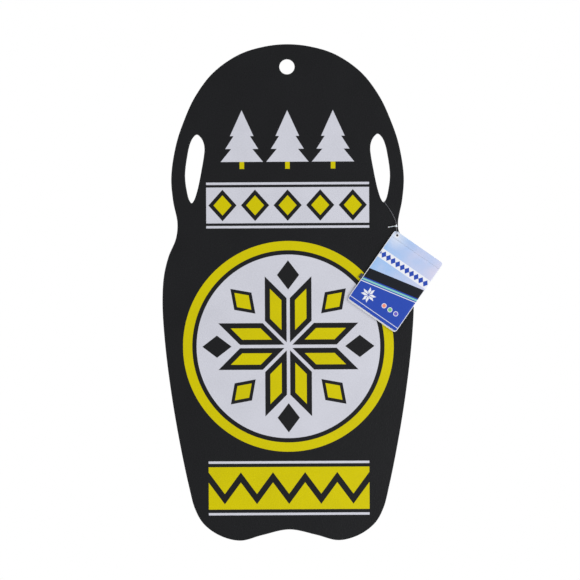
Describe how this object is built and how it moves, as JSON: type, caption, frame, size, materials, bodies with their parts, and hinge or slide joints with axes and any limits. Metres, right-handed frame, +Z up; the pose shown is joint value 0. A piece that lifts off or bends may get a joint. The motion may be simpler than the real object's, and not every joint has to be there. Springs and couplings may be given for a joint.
{
  "type": "roll-up snow sled",
  "caption": "Thin foam snow sled with a slick plastic base, round nose, hand grips, hanging hole and two-lobed tail, which rolls up, with a booklet swing tag on a loop.",
  "frame": {"origin": "middle of the hanging hole, halfway through the sheet", "axes": "+Z up to the nose tip, -Y out of the printed deck, +Y out of the slick base, +X to the right as the deck is seen"},
  "size_m": [0.5152, 0.0133, 0.914],
  "materials": {
    "deck_foam": "closed-cell foam with a printed, pebble-embossed skin, satin",
    "slick_base": "smooth slippery sheet, gloss, with fine lengthwise scuffs",
    "tag_card": "coated printed card, satin",
    "tag_paper": "thin coated paper leaves, satin",
    "filament": "clear nylon filament, satin",
    "lock": "moulded nylon, satin"
  },
  "bodies": {
    "nose": {"deck_nose": "deck_foam", "base_nose": "slick_base"},
    "strip_01": {"deck_strip_01": "deck_foam", "base_strip_01": "slick_base"},
    "strip_02": {"deck_strip_02": "deck_foam", "base_strip_02": "slick_base"},
    "strip_03": {"deck_strip_03": "deck_foam", "base_strip_03": "slick_base"},
    "strip_04": {"deck_strip_04": "deck_foam", "base_strip_04": "slick_base"},
    "strip_05": {"deck_strip_05": "deck_foam", "base_strip_05": "slick_base"},
    "strip_06": {"deck_strip_06": "deck_foam", "base_strip_06": "slick_base"},
    "strip_07": {"deck_strip_07": "deck_foam", "base_strip_07": "slick_base"},
    "strip_08": {"deck_strip_08": "deck_foam", "base_strip_08": "slick_base"},
    "strip_09": {"deck_strip_09": "deck_foam", "base_strip_09": "slick_base"},
    "strip_10": {"deck_strip_10": "deck_foam", "base_strip_10": "slick_base"},
    "strip_11": {"deck_strip_11": "deck_foam", "base_strip_11": "slick_base"},
    "strip_12": {"deck_strip_12": "deck_foam", "base_strip_12": "slick_base"},
    "strip_13": {"deck_strip_13": "deck_foam", "base_strip_13": "slick_base"},
    "strip_14": {"deck_strip_14": "deck_foam", "base_strip_14": "slick_base"},
    "strip_15": {"deck_strip_15": "deck_foam", "base_strip_15": "slick_base"},
    "strip_16": {"deck_strip_16": "deck_foam", "base_strip_16": "slick_base"},
    "strip_17": {"deck_strip_17": "deck_foam", "base_strip_17": "slick_base"},
    "strip_18": {"deck_strip_18": "deck_foam", "base_strip_18": "slick_base"},
    "strip_19": {"deck_strip_19": "deck_foam", "base_strip_19": "slick_base"},
    "strip_20": {"deck_strip_20": "deck_foam", "base_strip_20": "slick_base"},
    "strip_21": {"deck_strip_21": "deck_foam", "base_strip_21": "slick_base"},
    "strip_22": {"deck_strip_22": "deck_foam", "base_strip_22": "slick_base"},
    "strip_23": {"deck_strip_23": "deck_foam", "base_strip_23": "slick_base"},
    "tail": {"deck_tail": "deck_foam", "base_tail": "slick_base"},
    "loop": {"loop_filament": "filament", "loop_lock": "lock"},
    "tag": {"tag_back": "tag_card", "tag_head": "tag_card"},
    "tag_pages": {"tag_leaves": "tag_paper"},
    "tag_front": {"tag_cover": "tag_card"}
  },
  "joints": [
    {"name": "roll_01", "type": "hinge", "parent": "nose", "child": "strip_01", "pos_m": [0, 0.00255, -0.3165], "axis": [1, 0, 0], "range_deg": [0, 28], "stiffness_Nm_per_rad": 0.5},
    {"name": "roll_02", "type": "hinge", "parent": "strip_01", "child": "strip_02", "pos_m": [0, 0.00255, -0.34505], "axis": [1, 0, 0], "range_deg": [0, 28], "stiffness_Nm_per_rad": 0.5},
    {"name": "roll_03", "type": "hinge", "parent": "strip_02", "child": "strip_03", "pos_m": [0, 0.00255, -0.37309], "axis": [1, 0, 0], "range_deg": [0, 28], "stiffness_Nm_per_rad": 0.5},
    {"name": "roll_04", "type": "hinge", "parent": "strip_03", "child": "strip_04", "pos_m": [0, 0.00255, -0.40063], "axis": [1, 0, 0], "range_deg": [0, 28], "stiffness_Nm_per_rad": 0.5},
    {"name": "roll_05", "type": "hinge", "parent": "strip_04", "child": "strip_05", "pos_m": [0, 0.00255, -0.42766], "axis": [1, 0, 0], "range_deg": [0, 28], "stiffness_Nm_per_rad": 0.5},
    {"name": "roll_06", "type": "hinge", "parent": "strip_05", "child": "strip_06", "pos_m": [0, 0.00255, -0.45419], "axis": [1, 0, 0], "range_deg": [0, 28], "stiffness_Nm_per_rad": 0.5},
    {"name": "roll_07", "type": "hinge", "parent": "strip_06", "child": "strip_07", "pos_m": [0, 0.00255, -0.48022], "axis": [1, 0, 0], "range_deg": [0, 28], "stiffness_Nm_per_rad": 0.5},
    {"name": "roll_08", "type": "hinge", "parent": "strip_07", "child": "strip_08", "pos_m": [0, 0.00255, -0.50574], "axis": [1, 0, 0], "range_deg": [0, 28], "stiffness_Nm_per_rad": 0.5},
    {"name": "roll_09", "type": "hinge", "parent": "strip_08", "child": "strip_09", "pos_m": [0, 0.00255, -0.53076], "axis": [1, 0, 0], "range_deg": [0, 28], "stiffness_Nm_per_rad": 0.5},
    {"name": "roll_10", "type": "hinge", "parent": "strip_09", "child": "strip_10", "pos_m": [0, 0.00255, -0.55527], "axis": [1, 0, 0], "range_deg": [0, 28], "stiffness_Nm_per_rad": 0.5},
    {"name": "roll_11", "type": "hinge", "parent": "strip_10", "child": "strip_11", "pos_m": [0, 0.00255, -0.57928], "axis": [1, 0, 0], "range_deg": [0, 28], "stiffness_Nm_per_rad": 0.5},
    {"name": "roll_12", "type": "hinge", "parent": "strip_11", "child": "strip_12", "pos_m": [0, 0.00255, -0.60278], "axis": [1, 0, 0], "range_deg": [0, 28], "stiffness_Nm_per_rad": 0.5},
    {"name": "roll_13", "type": "hinge", "parent": "strip_12", "child": "strip_13", "pos_m": [0, 0.00255, -0.62578], "axis": [1, 0, 0], "range_deg": [0, 28], "stiffness_Nm_per_rad": 0.5},
    {"name": "roll_14", "type": "hinge", "parent": "strip_13", "child": "strip_14", "pos_m": [0, 0.00255, -0.64828], "axis": [1, 0, 0], "range_deg": [0, 28], "stiffness_Nm_per_rad": 0.5},
    {"name": "roll_15", "type": "hinge", "parent": "strip_14", "child": "strip_15", "pos_m": [0, 0.00255, -0.67027], "axis": [1, 0, 0], "range_deg": [0, 28], "stiffness_Nm_per_rad": 0.5},
    {"name": "roll_16", "type": "hinge", "parent": "strip_15", "child": "strip_16", "pos_m": [0, 0.00255, -0.69176], "axis": [1, 0, 0], "range_deg": [0, 28], "stiffness_Nm_per_rad": 0.5},
    {"name": "roll_17", "type": "hinge", "parent": "strip_16", "child": "strip_17", "pos_m": [0, 0.00255, -0.71274], "axis": [1, 0, 0], "range_deg": [0, 28], "stiffness_Nm_per_rad": 0.5},
    {"name": "roll_18", "type": "hinge", "parent": "strip_17", "child": "strip_18", "pos_m": [0, 0.00255, -0.73322], "axis": [1, 0, 0], "range_deg": [0, 28], "stiffness_Nm_per_rad": 0.5},
    {"name": "roll_19", "type": "hinge", "parent": "strip_18", "child": "strip_19", "pos_m": [0, 0.00255, -0.75319], "axis": [1, 0, 0], "range_deg": [0, 28], "stiffness_Nm_per_rad": 0.5},
    {"name": "roll_20", "type": "hinge", "parent": "strip_19", "child": "strip_20", "pos_m": [0, 0.00255, -0.77266], "axis": [1, 0, 0], "range_deg": [0, 28], "stiffness_Nm_per_rad": 0.5},
    {"name": "roll_21", "type": "hinge", "parent": "strip_20", "child": "strip_21", "pos_m": [0, 0.00255, -0.79163], "axis": [1, 0, 0], "range_deg": [0, 28], "stiffness_Nm_per_rad": 0.5},
    {"name": "roll_22", "type": "hinge", "parent": "strip_21", "child": "strip_22", "pos_m": [0, 0.00255, -0.81009], "axis": [1, 0, 0], "range_deg": [0, 28], "stiffness_Nm_per_rad": 0.5},
    {"name": "roll_23", "type": "hinge", "parent": "strip_22", "child": "strip_23", "pos_m": [0, 0.00255, -0.82805], "axis": [1, 0, 0], "range_deg": [0, 28], "stiffness_Nm_per_rad": 0.5},
    {"name": "roll_24", "type": "hinge", "parent": "strip_23", "child": "tail", "pos_m": [0, 0.00255, -0.8455], "axis": [1, 0, 0], "range_deg": [0, 28], "stiffness_Nm_per_rad": 0.5},
    {"name": "loop_swing", "type": "hinge", "parent": "nose", "child": "loop", "pos_m": [0.177, 0, -0.2484], "axis": [0, -1, 0], "range_deg": [0, 80]},
    {"name": "tag_swing", "type": "hinge", "parent": "loop", "child": "tag", "pos_m": [0.20121, -0.00545, -0.312], "axis": [0, -1, 0], "range_deg": [-70, 60]},
    {"name": "cover_open", "type": "hinge", "parent": "tag", "child": "tag_front", "pos_m": [0.19718, -0.00655, -0.31773], "axis": [-0.8181, 0, 0.575], "range_deg": [0, 150]},
    {"name": "pages_turn", "type": "hinge", "parent": "tag", "child": "tag_pages", "pos_m": [0.19718, -0.00585, -0.31773], "axis": [-0.8181, 0, 0.575], "range_deg": [0, 75]}
  ],
  "couplings": [
    {"joint": "roll_02", "follows": "roll_01", "ratio": 1},
    {"joint": "roll_03", "follows": "roll_01", "ratio": 1},
    {"joint": "roll_04", "follows": "roll_01", "ratio": 1},
    {"joint": "roll_05", "follows": "roll_01", "ratio": 1},
    {"joint": "roll_06", "follows": "roll_01", "ratio": 1},
    {"joint": "roll_07", "follows": "roll_01", "ratio": 1},
    {"joint": "roll_08", "follows": "roll_01", "ratio": 1},
    {"joint": "roll_09", "follows": "roll_01", "ratio": 1},
    {"joint": "roll_10", "follows": "roll_01", "ratio": 1},
    {"joint": "roll_11", "follows": "roll_01", "ratio": 1},
    {"joint": "roll_12", "follows": "roll_01", "ratio": 1},
    {"joint": "roll_13", "follows": "roll_01", "ratio": 1},
    {"joint": "roll_14", "follows": "roll_01", "ratio": 1},
    {"joint": "roll_15", "follows": "roll_01", "ratio": 1},
    {"joint": "roll_16", "follows": "roll_01", "ratio": 1},
    {"joint": "roll_17", "follows": "roll_01", "ratio": 1},
    {"joint": "roll_18", "follows": "roll_01", "ratio": 1},
    {"joint": "roll_19", "follows": "roll_01", "ratio": 1},
    {"joint": "roll_20", "follows": "roll_01", "ratio": 1},
    {"joint": "roll_21", "follows": "roll_01", "ratio": 1},
    {"joint": "roll_22", "follows": "roll_01", "ratio": 1},
    {"joint": "roll_23", "follows": "roll_01", "ratio": 1},
    {"joint": "roll_24", "follows": "roll_01", "ratio": 1},
    {"joint": "pages_turn", "follows": "cover_open", "ratio": 0.5}
  ]
}
